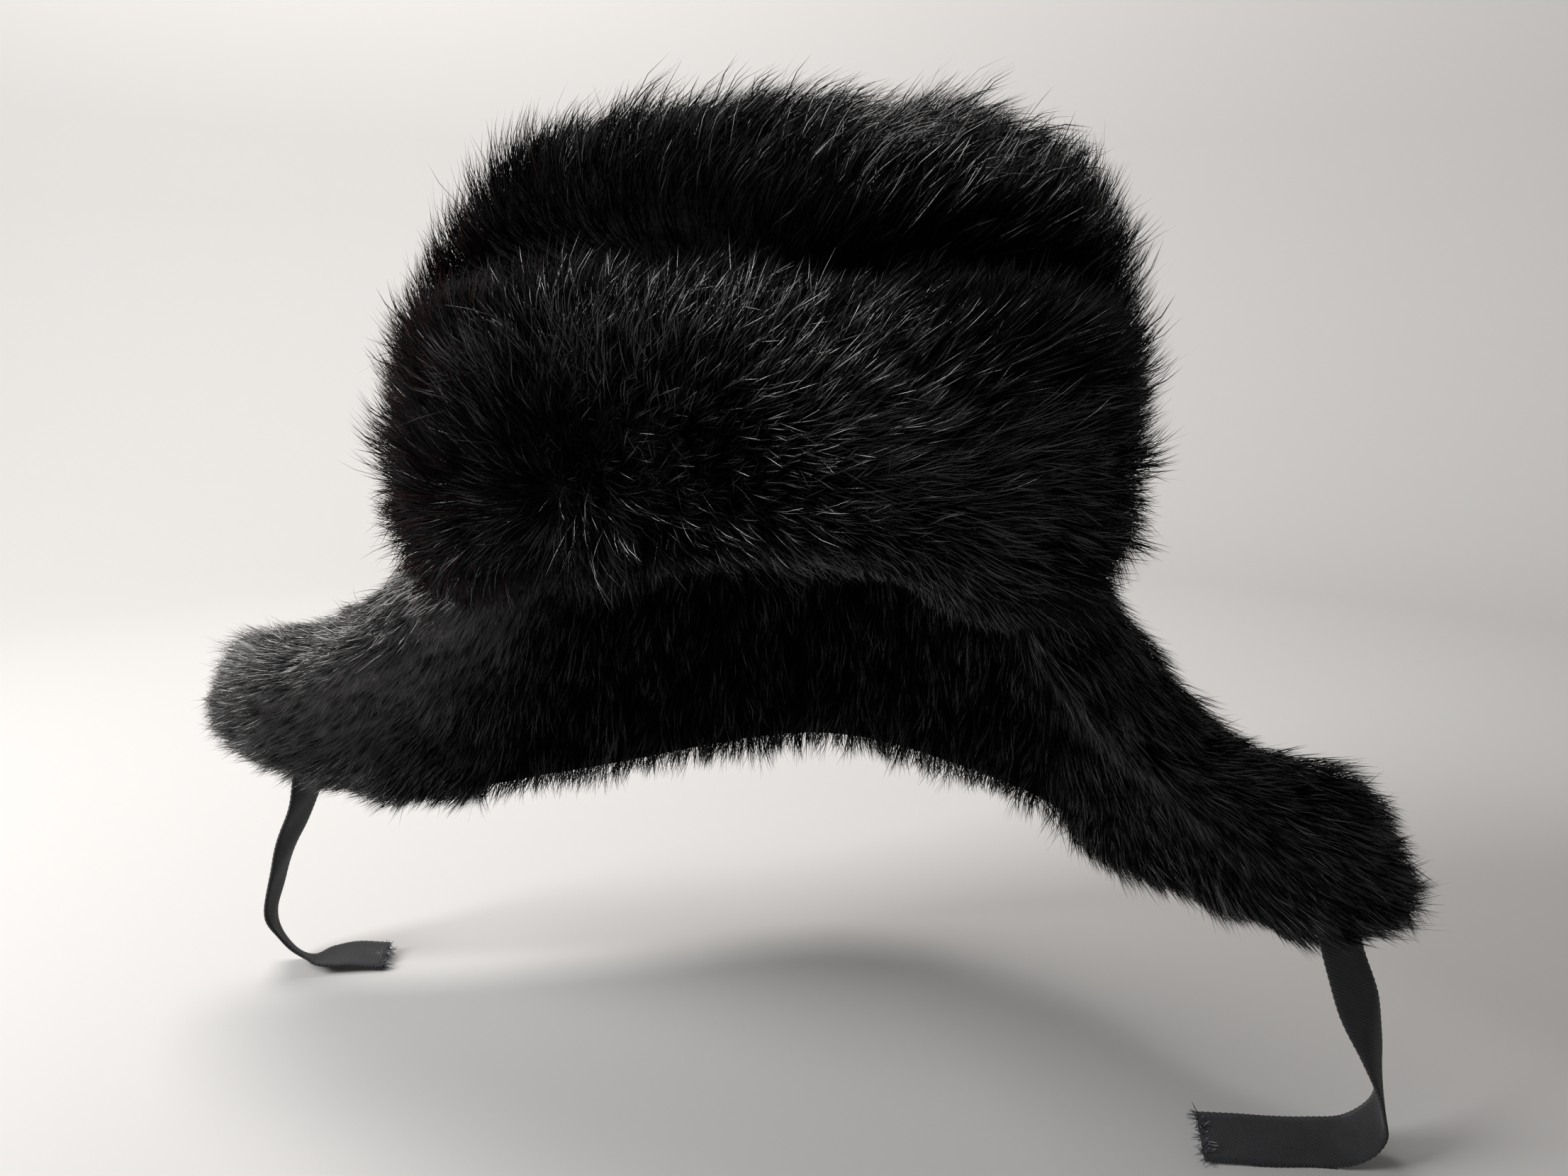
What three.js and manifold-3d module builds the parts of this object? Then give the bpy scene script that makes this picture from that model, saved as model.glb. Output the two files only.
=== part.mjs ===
// Rabbit fur ushanka: a hat with its front flap turned up against the crown and its ear flaps down.
// Millimetres, +Z up. The hat faces -Y, and the wearer's left is +X.
// The origin is the middle of the head opening, level with the forehead rim.

import * as THREE from 'three';
import { mergeVertices } from 'three/addons/utils/BufferGeometryUtils.js';
import Module from 'manifold-3d';

const wasm = await Module();
wasm.setup();

// Driving dimensions

const gap = 0.3; // clear distance kept between neighbouring pieces
const seamLevel = -15; // below this the fur belongs to the ear and nape flaps, above it to the crown

const crown = {
  halfWidth: 95, // outside of the padded wall at the rim, along X
  halfDepth: 112, // outside of the padded wall at the rim, along Y
  height: 114,
  wall: 8, // hide, batting and lining together
  squareness: 3.2, // 2 is an ellipse, higher has squarer shoulders
  lean: 0.05, // the top sits this much of its height towards the wearer's left
  archTop: 80, // the forehead's arch has faded out at this height
};

const forehead = { rise: 22, middle: 8 }; // the rim arches up over the forehead, highest at this X

const pile = { crown: 29, front: 24, ear: 22, earInside: 18 }; // depth of the fur off the hide

const frontFlap = {
  halfAngle: 60, // degrees round the crown, from the middle of the forehead
  height: 68,
  thickness: 4,
};

const band = { thickness: 5 }; // ear and nape flaps: hide, batting and hide

const tape = { width: 18, thickness: 1.2 };

// Sections of the ear and nape flaps, from the wearer's right temple round the back to the left.
// Each row gives a point at the rim, one half way down and one on the lower edge.
const bandSections = [
  { name: 'right front edge', rim: [-86, -52, -6], mid: [-148, -26, -46], low: [-216, 6, -77] },
  { name: 'right tip, front', rim: [-92, -27, -7], mid: [-172, 6, -64], low: [-250, 30, -99] },
  { name: 'right tip, back', rim: [-95, 4, -8], mid: [-170, 36, -84], low: [-240, 46, -126] },
  { name: 'right back edge', rim: [-92, 42, -7], mid: [-142, 56, -92], low: [-178, 56, -143] },
  { name: 'behind right ear', rim: [-72, 80, -5], mid: [-98, 86, -76], low: [-110, 82, -139] },
  { name: 'nape', rim: [0, 111, -3], mid: [0, 124, -64], low: [0, 122, -128] },
  { name: 'behind left ear', rim: [72, 80, -5], mid: [92, 88, -76], low: [92, 90, -135] },
  { name: 'left back edge', rim: [92, 42, -7], mid: [122, 52, -94], low: [142, 44, -144] },
  { name: 'left tip, back', rim: [95, 4, -8], mid: [144, 20, -92], low: [194, 8, -146] },
  { name: 'left tip, front', rim: [92, -27, -7], mid: [146, -14, -76], low: [213, -10, -124] },
  { name: 'left front edge', rim: [86, -52, -6], mid: [128, -42, -62], low: [188, -28, -98] },
];

// Routes of the ties, from inside the fur of the flap tip to the free end.
// Each row is a point and the direction in which the tape's width lies there.
const rightTieRoute = [
  { at: [-224, 46, -132], across: [0.35, 0.94, 0] },
  { at: [-229, 47, -148], across: [0.35, 0.94, 0] },
  { at: [-236, 48, -163], across: [0.4, 0.92, 0] },
  { at: [-243, 49, -178], across: [0.45, 0.9, 0] },
  { at: [-249, 49, -194], across: [0.45, 0.9, 0.05] },
  { at: [-253, 49, -210], across: [0.35, 0.93, 0.1] },
  { at: [-252, 48, -224], across: [0.2, 0.97, 0.15] },
  { at: [-243, 47, -233], across: [-0.1, 0.98, 0.1] },
  { at: [-231, 49, -235.6], across: [-0.45, 0.88, 0.05] },
  { at: [-221, 57, -235.8], across: [-0.72, 0.7, 0.03] },
  { at: [-213, 67, -235.8], across: [-0.78, 0.62, 0.03] },
  { at: [-206, 77, -235.8], across: [-0.8, 0.6, 0.03] },
];
const leftTieRoute = [
  { at: [203, -3, -142], across: [0.9, 0.43, 0] },
  { at: [207, -4, -158], across: [0.9, 0.43, 0] },
  { at: [212, -5, -174], across: [0.75, 0.66, 0] },
  { at: [218, -6, -190], across: [0.5, 0.86, 0] },
  { at: [222, -6, -206], across: [0.2, 0.98, 0.05] },
  { at: [222, -5, -219], across: [0.02, 0.96, 0.28] },
  { at: [214, -5, -228.5], across: [-0.12, 0.86, 0.5] },
  { at: [201, -6, -231], across: [-0.08, 0.82, 0.57] },
  { at: [187, -8, -231], across: [-0.05, 0.82, 0.57] },
  { at: [174, -9, -231], across: [-0.05, 0.84, 0.54] },
  { at: [160, -10, -231.3], across: [-0.05, 0.86, 0.5] },
];

// Small helpers

const vec = (x, y, z) => new THREE.Vector3(x, y, z);
const radians = THREE.MathUtils.degToRad;

// The same row of numbers on every run.
function seededRandom(seed) {
  let state = seed;
  return () => {
    state = (state * 1664525 + 1013904223) % 4294967296;
    return state / 4294967296;
  };
}

function toSolid(geometry) {
  const bare = geometry.clone();
  bare.deleteAttribute('normal');
  bare.deleteAttribute('uv');
  const merged = mergeVertices(bare, 1e-3);
  return new wasm.Manifold(
    new wasm.Mesh({
      numProp: 3,
      vertProperties: merged.attributes.position.array,
      triVerts: new Uint32Array(merged.index.array),
    }),
  );
}

// The cuts can leave loose crumbs and sealed voids: the biggest body is the piece, without them.
function mainBody(solid) {
  return solid.decompose().reduce((best, body) => (body.volume() > best.volume() ? body : best));
}

function toGeometry(solid) {
  const mesh = mainBody(solid).getMesh();
  const geometry = new THREE.BufferGeometry();
  geometry.setAttribute('position', new THREE.BufferAttribute(new Float32Array(mesh.vertProperties), 3));
  geometry.setIndex(new THREE.BufferAttribute(new Uint32Array(mesh.triVerts), 1));
  const faceted = geometry.toNonIndexed();
  faceted.computeVertexNormals();
  return faceted;
}

// A point and the outward normal of a surface given as place(u, v), with u and v from 0 to 1.
// Beyond 0 and 1 the surface runs on straight.
function surfaceAt(place, u, v) {
  const step = 1e-3;
  const inside = (t) => THREE.MathUtils.clamp(t, step, 1 - step);
  const cu = inside(u);
  const cv = inside(v);
  const point = place(cu, cv);
  const along = place(cu + step, cv).sub(place(cu - step, cv)).divideScalar(2 * step);
  const down = place(cu, cv + step).sub(place(cu, cv - step)).divideScalar(2 * step);
  point.addScaledVector(along, u - cu).addScaledVector(down, v - cv);
  const normal = down.clone().cross(along).normalize();
  return { point, normal, along: along.normalize(), down: down.normalize() };
}

const steps = (count) => Array.from({ length: count + 1 }, (_, i) => i / count);

const unmoved = () => vec(0, 0, 0);

// A closed slab over a surface at the given u and v. front(u, v) and back(u, v) are its depths on the two
// sides. frontTips and backTips move single points of a side, which makes locks of them.
function slab(place, { us, vs, front, back, frontTips = unmoved, backTips = unmoved }) {
  const positions = [];
  const index = [];
  const lastU = us.length - 1;
  const lastV = vs.length - 1;
  const id = (i, j, side) => (i * vs.length + j) * 2 + side;
  us.forEach((u, i) => {
    vs.forEach((v, j) => {
      const at = surfaceAt(place, u, v);
      const outer = at.point.clone().addScaledVector(at.normal, front(u, v));
      const inner = at.point.clone().addScaledVector(at.normal, -back(u, v));
      positions.push(...outer.add(frontTips(i, j, u, v, at)).toArray());
      positions.push(...inner.add(backTips(i, j, u, v, at)).toArray());
    });
  });
  const quad = (a, b, c, d) => index.push(a, b, c, a, c, d);
  for (let i = 0; i < lastU; i++) {
    for (let j = 0; j < lastV; j++) {
      quad(id(i, j, 0), id(i, j + 1, 0), id(i + 1, j + 1, 0), id(i + 1, j, 0));
      quad(id(i, j, 1), id(i + 1, j, 1), id(i + 1, j + 1, 1), id(i, j + 1, 1));
    }
    quad(id(i, 0, 0), id(i + 1, 0, 0), id(i + 1, 0, 1), id(i, 0, 1));
    quad(id(i, lastV, 0), id(i, lastV, 1), id(i + 1, lastV, 1), id(i + 1, lastV, 0));
  }
  for (let j = 0; j < lastV; j++) {
    quad(id(0, j, 0), id(0, j, 1), id(0, j + 1, 1), id(0, j + 1, 0));
    quad(id(lastU, j, 0), id(lastU, j + 1, 0), id(lastU, j + 1, 1), id(lastU, j, 1));
  }
  const geometry = new THREE.BufferGeometry();
  geometry.setAttribute('position', new THREE.BufferAttribute(new Float32Array(positions), 3));
  geometry.setIndex(index);
  return toSolid(geometry);
}

// A box that holds everything on one side of a plane.
function halfSpace(point, normal) {
  const size = 1200;
  const box = new THREE.BoxGeometry(size, size, size);
  box.translate(0, 0, size / 2);
  const turn = new THREE.Quaternion().setFromUnitVectors(vec(0, 0, 1), normal.clone().normalize());
  box.applyQuaternion(turn);
  box.translate(point.x, point.y, point.z);
  return toSolid(box);
}

// Crown

// How far the arch of the forehead lifts a point of the rim. It fades out towards the temples and at top.
function archLift(x, y, z, top) {
  const across = (x - forehead.middle) / crown.halfWidth;
  const front = THREE.MathUtils.smoothstep(-y / crown.halfDepth, 0.25, 0.85);
  const upward = THREE.MathUtils.clamp(1 - z / top, 0, 1);
  return forehead.rise * front * Math.max(0, 1 - across * across) * upward;
}

// Leans a point of the upright crown and lifts it by the arch.
function settle(x, y, z, archTop) {
  const upper = Math.max(0, z);
  return vec(x + crown.lean * upper, y, z + archLift(x, y, upper, archTop));
}

// A point of the dome: u runs round it with the forehead in the middle, v from the top down to the rim.
// grow is the distance outside the padded wall's outer face.
function domePlace(grow) {
  const power = 2 / crown.squareness;
  return (u, v) => {
    const angle = radians(-180 + 360 * u);
    const rise = (Math.PI / 2) * (1 - v);
    const level = Math.cos(rise) ** power;
    const x = (crown.halfWidth + grow) * level * Math.sin(angle);
    const y = -(crown.halfDepth + grow) * level * Math.cos(angle);
    const z = (crown.height + grow) * Math.sin(rise) ** power;
    return settle(x, y, z, crown.archTop);
  };
}

// A solid dome down to the level foot, in evenly spaced rings.
function dome(grow, foot, { round, rings, tips = unmoved }) {
  const reach = crown.halfDepth + grow;
  const height = crown.height + grow;
  const power = 2 / crown.squareness;
  const outline = steps(60).map((t) => {
    const angle = (Math.PI / 2) * t;
    return new THREE.Vector2(reach * Math.cos(angle) ** power, height * Math.sin(angle) ** power);
  });
  outline[outline.length - 1].x = 0;
  const ringPoints = new THREE.SplineCurve(outline).getSpacedPoints(rings);
  ringPoints[rings].x = 0;
  const footPoints = [new THREE.Vector2(0, foot), new THREE.Vector2(reach, foot)];
  const profile = [...footPoints, ...ringPoints];
  const geometry = new THREE.LatheGeometry(profile, round);
  geometry.scale((crown.halfWidth + grow) / reach, 1, 1).rotateX(Math.PI / 2);
  const position = geometry.attributes.position;
  const place = domePlace(grow);
  for (let i = 0; i < position.count; i++) {
    const settled = settle(position.getX(i), position.getY(i), position.getZ(i), crown.archTop);
    const ring = (i % profile.length) - footPoints.length;
    const column = Math.floor(i / profile.length) % round;
    if (ring >= 0 && ring < rings) {
      const level = Math.min(1, ringPoints[ring].x / reach) ** (1 / power);
      const rise = Math.atan2((ringPoints[ring].y / height) ** (1 / power), level);
      const u = (column / round + 0.5) % 1;
      const v = 1 - rise / (Math.PI / 2);
      settled.add(tips(column, ring, u, v, surfaceAt(place, u, v)));
    }
    position.setXYZ(i, settled.x, settled.y, settled.z);
  }
  return toSolid(geometry);
}

// A smooth curve through points given as [x, y, z].
const curveThrough = (points) => {
  const vectors = points.map((point) => vec(...point));
  return new THREE.CatmullRomCurve3(vectors, false, 'catmullrom', 0.5);
};
const bandRim = curveThrough(bandSections.map((section) => section.rim));
const bandMid = curveThrough(bandSections.map((section) => section.mid));
const bandLow = curveThrough(bandSections.map((section) => section.low));

// The middle surface of the ear and nape flaps: u runs round the head, v from the rim down.
function bandPlace(u, v) {
  const rim = bandRim.getPoint(u).multiplyScalar(2 * (v - 0.5) * (v - 1));
  const mid = bandMid.getPoint(u).multiplyScalar(-4 * v * (v - 1));
  const low = bandLow.getPoint(u).multiplyScalar(2 * v * (v - 0.5));
  return rim.add(mid).add(low);
}

// The middle surface of the front flap: u runs across the forehead, v from the top edge down to the fold.
const frontFold = [
  { z: 68, out: 11 },
  { z: 56, out: 13 },
  { z: 38, out: 14 },
  { z: 18, out: 14 },
  { z: 0, out: 12 },
  { z: -8, out: 8 },
  { z: -5, out: 3 },
];
const frontCurve = new THREE.CatmullRomCurve3(frontFold.map((row) => vec(row.out, 0, row.z)));

function frontPlace(u, v) {
  const across = 2 * u - 1;
  const angle = radians(frontFlap.halfAngle * across);
  const shortening = 1 - 0.12 * across ** 6; // the top corners are rounded
  const section = frontCurve.getPoint(THREE.MathUtils.clamp(v, 0, 1));
  const z = section.z > 0 ? section.z * shortening : section.z;
  const power = 2 / crown.squareness;
  const share = Math.max(0, z) / crown.height;
  const level = (1 - share ** crown.squareness) ** (1 / crown.squareness);
  const x = (crown.halfWidth * level + section.x) * Math.sin(angle);
  const y = -(crown.halfDepth * level + section.x) * Math.cos(angle);
  return settle(x, y, z, frontFlap.height);
}

// Fur

// Depth of a pelt that thins to its free edges. edge is the distance from the edge in shares of its width.
function roundedDepth(full, edge) {
  const t = THREE.MathUtils.clamp(edge, 0, 1);
  return full * Math.max(0.3, Math.sqrt(1 - (1 - t) ** 2));
}

// Makes locks of a pelt's grid: every second point is a tip, raised by rise and carried along the comb by
// reach, and the points between are the partings. side is 1 for the outer face and -1 for the inner.
function lockTips({ seed, side, comb, reach, rise }) {
  const random = seededRandom(seed);
  const spreads = steps(2000).map(() => 0.7 + 0.6 * random());
  return (i, j, u, v, at) => {
    if ((i + j) % 2) {
      return vec(0, 0, 0);
    }
    const spread = spreads[i * 37 + j];
    const normal = at.normal.clone().multiplyScalar(side);
    const flow = comb(u, v, at);
    flow.addScaledVector(normal, -flow.dot(normal)).normalize();
    return flow.multiplyScalar(reach * spread).addScaledVector(normal, rise * spread);
  };
}

// Crown pieces

const wallMesh = { round: 28, rings: 8 };
const frontUs = steps(20);
const frontVs = steps(8);
const bandUs = steps(36);
const bandVs = steps(7);
const crownOuter = dome(0, -3, wallMesh);
const crownHollow = dome(-crown.wall, -20, wallMesh);
const crownWall = crownOuter.subtract(crownHollow);

const below = halfSpace(vec(0, 0, seamLevel - gap / 2), vec(0, 0, -1));
const above = halfSpace(vec(0, 0, seamLevel + gap / 2), vec(0, 0, 1));

// Room that the turned-up front flap and its fur take out of the crown's fur.
const frontRoom = (extra) =>
  slab(frontPlace, {
    us: [-0.13, ...frontUs, 1.13], vs: [-0.2, ...frontVs, 1.4],
    front: () => 60 + extra, back: () => frontFlap.thickness / 2 + 2 + extra,
  });

// The same panel with room all round it.
const bandPanelRoom = slab(bandPlace, {
  us: [-0.003, ...bandUs, 1.003], vs: [-0.05, ...bandVs, 1.004],
  front: () => band.thickness / 2 + gap, back: () => band.thickness / 2 + gap,
});

// The hair stands up the sides and lies over the top towards the back and the wearer's left.
const crownTopFlow = vec(0.75, 0.55, 0.35);
const crownComb = (u, v, at) => {
  const topShare = THREE.MathUtils.smoothstep(1 - v, 0.3, 0.8);
  return at.down.clone().multiplyScalar(topShare - 1).addScaledVector(crownTopFlow, topShare + 0.15);
};
const crownFur = dome(pile.crown - 9, seamLevel - 5, {
  round: 44, rings: 12,
  tips: lockTips({ seed: 7, side: 1, comb: crownComb, reach: 11, rise: 6 }),
})
  .subtract(dome(gap, -60, wallMesh))
  .subtract(frontRoom(gap))
  .subtract(bandPanelRoom)
  .intersect(above);

// Front flap

const frontPanel = slab(frontPlace, {
  us: frontUs, vs: frontVs,
  front: () => frontFlap.thickness / 2, back: () => frontFlap.thickness / 2,
});
// The hair fans out from a whorl a little to the wearer's left of the middle of the flap.
const whorl = { u: 0.54, v: 0.47 };
const frontComb = (u, v, at) => at.along.clone().multiplyScalar((u - whorl.u) * 3.4)
  .addScaledVector(at.down, (v - whorl.v) * 1.9 + 0.1);
const frontEdge = 0.07;
const frontPelt = slab(frontPlace, {
  us: [-frontEdge, ...frontUs, 1 + frontEdge],
  vs: [-frontEdge, ...frontVs],
  front: (u, v) => {
    const sideEdge = Math.min(u + frontEdge, 1 + frontEdge - u) / 0.16;
    const topEdge = (v + frontEdge) / 0.25;
    return roundedDepth(pile.front - 7, Math.min(sideEdge, topEdge));
  },
  back: () => -frontFlap.thickness / 2 - gap,
  frontTips: lockTips({ seed: 21, side: 1, comb: frontComb, reach: 10, rise: 7 }),
});
const frontFur = frontPelt
  .subtract(bandPanelRoom)
  .intersect(frontRoom(0))
  .intersect(above);

// Ties

// A flat tape along its route, thicker and wider by extra on every side.
function tie(route, extra) {
  const curve = new THREE.CatmullRomCurve3(route.map((row) => vec(...row.at)));
  const widths = curveThrough(route.map((row) => row.across));
  const place = (u, v) => {
    const across = widths.getPoint(u).normalize();
    return curve.getPoint(u).addScaledVector(across, (v - 0.5) * (tape.width + 2 * extra));
  };
  const half = tape.thickness / 2 + extra;
  return slab(place, { us: steps(22), vs: [0, 1], front: () => half, back: () => half });
}

// Ear and nape flaps

const bandPanel = slab(bandPlace, {
  us: bandUs, vs: bandVs,
  front: () => band.thickness / 2, back: () => band.thickness / 2,
}).subtract(dome(gap, -3 - gap, wallMesh));
const bandEdge = { u: 0.028, v: 0.08 };
const bandDepth = (full) => (u, v) => {
  const flapEdge = Math.min(u + bandEdge.u, 1 + bandEdge.u - u) / 0.07;
  const lowEdge = (1 + bandEdge.v - v) / 0.2;
  return roundedDepth(full, Math.min(flapEdge, lowEdge));
};
const bandComb = (u, v, at) => at.down.clone().addScaledVector(at.along, 0.25 * Math.sign(u - 0.5));
const bandPelt = slab(bandPlace, {
  us: [-bandEdge.u, ...bandUs, 1 + bandEdge.u],
  vs: [-0.02, ...bandVs.slice(1), 1 + bandEdge.v],
  front: bandDepth(pile.ear - 8), back: bandDepth(pile.earInside - 6),
  frontTips: lockTips({ seed: 36, side: 1, comb: bandComb, reach: 8, rise: 5 }),
  backTips: lockTips({ seed: 46, side: -1, comb: bandComb, reach: 8, rise: 5 }),
});
const bandFur = bandPelt
  .subtract(bandPanelRoom)
  .intersect(below)
  .subtract(tie(rightTieRoute, gap))
  .subtract(tie(leftTieRoute, gap));

// Planes of the seams behind the ears, where the nape flap begins.
const seams = [
  { u: 0.34, away: -1 },
  { u: 0.66, away: 1 },
].map(({ u, away }) => {
  const top = surfaceAt(bandPlace, u, 0);
  const low = surfaceAt(bandPlace, u, 1);
  const run = low.point.clone().sub(top.point).normalize();
  const along = surfaceAt(bandPlace, u, 0.5).along.multiplyScalar(away);
  const normal = along.addScaledVector(run, -along.dot(run)).normalize();
  return { point: top.point, normal };
});
const onSide = (solid, { point, normal }, way) => {
  const start = point.clone().addScaledVector(normal, (way * gap) / 2);
  return solid.intersect(halfSpace(start, normal.clone().multiplyScalar(way)));
};
const panelRight = onSide(bandPanel, seams[0], 1);
const panelLeft = onSide(bandPanel, seams[1], 1);
const panelNape = onSide(onSide(bandPanel, seams[0], -1), seams[1], -1);
const furRight = onSide(bandFur, seams[0], 1);
const furLeft = onSide(bandFur, seams[1], 1);
const furNape = onSide(onSide(bandFur, seams[0], -1), seams[1], -1);

// The hat

const hide = new THREE.MeshStandardMaterial({ color: 0x1b1918, roughness: 0.85 });
const fur = new THREE.MeshStandardMaterial({ color: 0x121213, roughness: 0.6 });
const lining = new THREE.MeshStandardMaterial({ color: 0x191a1c, roughness: 0.9 });
const cotton = new THREE.MeshStandardMaterial({ color: 0x24272b, roughness: 0.9 });

const hat = new THREE.Group();
const pieces = [
  { name: 'crown_wall', solid: crownWall, material: lining },
  { name: 'crown_fur', solid: crownFur, material: fur },
  { name: 'front_flap', solid: frontPanel, material: hide },
  { name: 'front_flap_fur', solid: frontFur, material: fur },
  { name: 'right_ear_flap', solid: panelRight, material: hide },
  { name: 'right_ear_flap_fur', solid: furRight, material: fur },
  { name: 'left_ear_flap', solid: panelLeft, material: hide },
  { name: 'left_ear_flap_fur', solid: furLeft, material: fur },
  { name: 'nape_flap', solid: panelNape, material: hide },
  { name: 'nape_flap_fur', solid: furNape, material: fur },
  { name: 'right_tie', solid: tie(rightTieRoute, 0).subtract(bandPanelRoom), material: cotton },
  { name: 'left_tie', solid: tie(leftTieRoute, 0).subtract(bandPanelRoom), material: cotton },
];
for (const { name, solid, material } of pieces) {
  const mesh = new THREE.Mesh(toGeometry(solid), material);
  mesh.name = name;
  hat.add(mesh);
}

export default hat;
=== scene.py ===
import math

import bmesh
import bpy
import numpy as np
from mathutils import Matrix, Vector
from mathutils.kdtree import KDTree


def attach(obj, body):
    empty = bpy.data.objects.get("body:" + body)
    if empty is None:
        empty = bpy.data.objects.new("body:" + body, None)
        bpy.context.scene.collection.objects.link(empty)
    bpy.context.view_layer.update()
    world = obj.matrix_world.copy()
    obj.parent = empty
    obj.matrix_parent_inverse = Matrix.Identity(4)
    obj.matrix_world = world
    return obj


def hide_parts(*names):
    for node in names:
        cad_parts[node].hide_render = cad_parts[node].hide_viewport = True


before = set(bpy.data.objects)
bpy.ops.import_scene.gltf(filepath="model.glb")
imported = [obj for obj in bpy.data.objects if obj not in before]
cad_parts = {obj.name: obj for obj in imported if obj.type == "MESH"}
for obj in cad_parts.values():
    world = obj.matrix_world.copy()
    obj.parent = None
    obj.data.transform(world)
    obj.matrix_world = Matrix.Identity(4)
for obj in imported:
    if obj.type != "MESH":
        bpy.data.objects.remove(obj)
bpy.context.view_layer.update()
scene = bpy.context.scene
scene.view_settings.view_transform = "Standard"
millimetre = 0.001
print("frame loaded")


# Colours and nodes

def colour(hexCode):  # an sRGB hex value as linear light
    shares = [int(hexCode[i:i + 2], 16) / 255 for i in (1, 3, 5)]
    linear = [s / 12.92 if s <= 0.04045 else ((s + 0.055) / 1.055) ** 2.4 for s in shares]
    return (*linear, 1.0)


def addNode(tree, kind, settings=None, links=None):  # one node with its settings and links
    node = tree.nodes.new(kind)
    for name, value in (settings or {}).items():
        if isinstance(name, str) and hasattr(node, name):
            setattr(node, name, value)
        else:
            node.inputs[name].default_value = value
    for name, source in (links or {}).items():
        tree.links.new(source, node.inputs[name])
    return node


def newMaterial(name, shader):  # a material with one principled shader, and its tree
    material = bpy.data.materials.new(name)
    material.use_nodes = True
    tree = material.node_tree
    tree.nodes.clear()
    principled = addNode(tree, "ShaderNodeBsdfPrincipled", shader)
    addNode(tree, "ShaderNodeOutputMaterial", links={"Surface": principled.outputs[0]})
    return material, tree, principled


def colourRamp(tree, factor, stops):  # stops are pairs of place and hex colour
    ramp = addNode(tree, "ShaderNodeValToRGB", links={"Fac": factor})
    elements = ramp.color_ramp.elements
    for i, (place, hexCode) in enumerate(stops):
        element = elements[i] if i < 2 else elements.new(place)
        element.position = place
        element.color = colour(hexCode)
    return ramp.outputs["Color"]


def addBump(tree, principled, height, strength, distance):
    bump = addNode(tree, "ShaderNodeBump", {"Strength": strength, "Distance": distance}, {"Height": height})
    tree.links.new(bump.outputs[0], principled.inputs["Normal"])


def grainMaterial(name, shader, noise, stops, strength, distance):  # one noise for both colour and bump
    material, tree, principled = newMaterial(name, shader)
    where = addNode(tree, "ShaderNodeTexCoord")
    grain = addNode(tree, "ShaderNodeTexNoise", noise, {"Vector": where.outputs["Object"]})
    tree.links.new(colourRamp(tree, grain.outputs["Fac"], stops), principled.inputs["Base Color"])
    addBump(tree, principled, grain.outputs["Fac"], strength, distance)
    return material


# Camera, at the photograph's place and angle

cameraSetup = {
    "place": (0.0777, -0.4179, 0.064), "pitchDown": 12.4, "yaw": 10,
    "lens": 27.05, "sensor": 36, "nearest": 0.01,
}
camera = bpy.data.objects.new("camera", bpy.data.cameras.new("camera"))
camera.location = cameraSetup["place"]
camera.rotation_euler = (math.radians(90 - cameraSetup["pitchDown"]), 0, math.radians(cameraSetup["yaw"]))
camera.data.lens = cameraSetup["lens"]
camera.data.sensor_width = cameraSetup["sensor"]
camera.data.clip_start = cameraSetup["nearest"]
scene.collection.objects.link(camera)
scene.camera = camera


# Curves and surfaces of the hat, in millimetres

smallStep = 1e-3  # for the slope of a curve or surface, as a share of it


def curveThrough(points):  # a smooth curve through points, read with t from 0 to 1
    inner = np.array(points, float)
    padded = np.vstack([2 * inner[0] - inner[1], inner, 2 * inner[-1] - inner[-2]])
    spans = len(inner) - 1

    def at(t):
        place = np.clip(np.asarray(t, float), 0, 1) * spans
        span = np.minimum(np.floor(place).astype(int), spans - 1)
        w = (place - span)[..., None]
        before, start, end, after = (padded[span + k] for k in range(4))
        slopeA, slopeB = (end - before) / 2, (after - start) / 2
        cubic = (2 * start - 2 * end + slopeA + slopeB) * w ** 3
        square = (-3 * start + 3 * end - 2 * slopeA - slopeB) * w ** 2
        return cubic + square + slopeA * w + start
    return at


def smoothStep(x, low, high):  # 0 below low, 1 above high
    t = np.clip((x - low) / (high - low), 0, 1)
    return t * t * (3 - 2 * t)


def rising(x, amount, low, high):  # 0 below low, the amount above high
    return amount * smoothStep(x, low, high)


def falling(x, amount, low, high):  # the amount below low, 0 above high
    return amount * (1 - smoothStep(x, low, high))


def unit(vectors):
    return vectors / np.maximum(np.linalg.norm(vectors, axis=-1, keepdims=True), 1e-9)


def dot(a, b):
    return (a * b).sum(axis=-1, keepdims=True)


crown = {
    "halfWidth": 95, "halfDepth": 112, "height": 114, "wall": 8, "lean": 0.05, "archTop": 80,
    "squareness": 3.2,  # 2 is an ellipse, higher has squarer shoulders
    "profileRadius": 104,  # between the half width and the half depth, for measuring down the side
    "foreheadRise": 22, "foreheadMiddle": 8, "foreheadBand": (0.25, 0.85),
}


def settle(x, y, z, archTop):  # leans the upright crown and lifts its rim over the forehead
    upper = np.maximum(0, z)
    across = (x - crown["foreheadMiddle"]) / crown["halfWidth"]
    front = smoothStep(-y / crown["halfDepth"], *crown["foreheadBand"])
    upward = np.clip(1 - upper / archTop, 0, 1)
    lift = crown["foreheadRise"] * front * np.maximum(0, 1 - across ** 2) * upward
    return np.stack([x + crown["lean"] * upper, y, z + lift], axis=-1)


crownPower = 2 / crown["squareness"]
profileRise = np.linspace(np.pi / 2, 0, 400)
profileOut = crown["profileRadius"] * np.cos(profileRise) ** crownPower
profileUp = crown["height"] * np.sin(profileRise) ** crownPower
profileArc = np.concatenate([[0], np.cumsum(np.hypot(np.diff(profileOut), np.diff(profileUp)))])
crownArc = profileArc[-1]


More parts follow.
